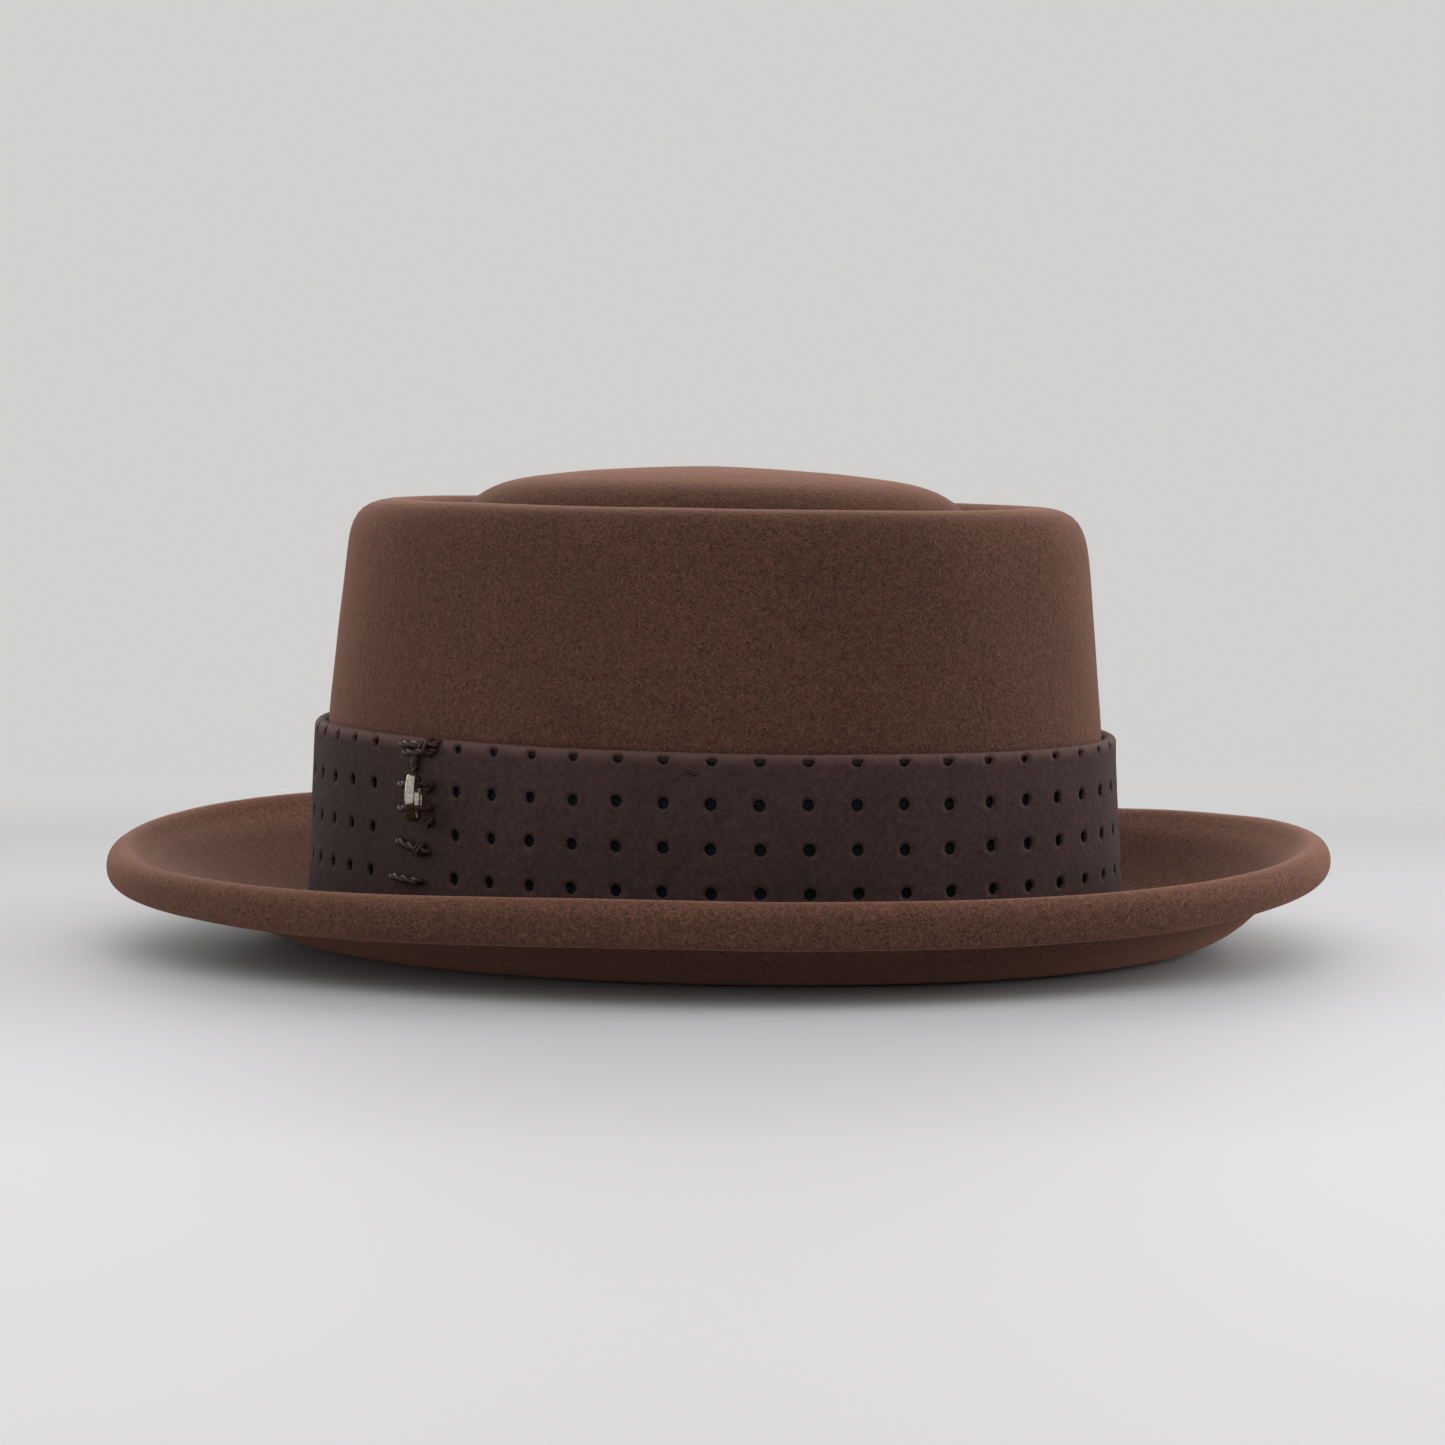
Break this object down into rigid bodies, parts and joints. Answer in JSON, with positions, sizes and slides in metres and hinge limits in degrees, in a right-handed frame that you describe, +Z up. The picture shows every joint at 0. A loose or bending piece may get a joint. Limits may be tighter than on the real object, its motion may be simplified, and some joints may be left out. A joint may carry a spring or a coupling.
{
  "type": "pork pie hat",
  "caption": "Brown felt pork pie hat with a rolled brim, a perforated band sewn at the side and a small metal ring hanging from the seam.",
  "frame": {"origin": "on the table under the middle of the hat, which stands on its brim", "axes": "+Z up, -X towards the front of the hat, -Y towards the wearer's left, where the seam is"},
  "size_m": [0.3172, 0.2836, 0.1152],
  "materials": {
    "felt": "brushed fur felt, matt",
    "backing_cloth": "dark plain weave",
    "band_leather": "matt, fine grain, perforated",
    "waxed_thread": "waxed, twisted",
    "polished_nickel": "polished nickel",
    "sweatband_leather": "smooth, satin",
    "welt_leather": "smooth, rolled",
    "sewing_thread": "plain sewing thread",
    "lining_satin": "satin"
  },
  "bodies": {
    "hat": {"felt_body": "felt", "band_backing": "backing_cloth", "band_cover": "band_leather", "seam_stitch_top": "waxed_thread", "seam_chain": "waxed_thread", "seam_stitch_middle": "waxed_thread", "seam_stitch_bottom": "waxed_thread", "band_tack": "waxed_thread", "ring_loop_upper": "waxed_thread", "ring_loop_lower": "waxed_thread", "sweatband": "sweatband_leather", "sweatband_welt": "welt_leather", "sweatband_stitches": "sewing_thread", "lining_side": "lining_satin", "lining_tip": "lining_satin"},
    "ring": {"trim_ring": "polished_nickel"}
  },
  "joints": [
    {"name": "ring_swing", "type": "hinge", "parent": "hat", "child": "ring", "pos_m": [-0.00416, -0.09161, 0.03949], "axis": [0, 0, 1], "range_deg": [-82, 2]}
  ]
}
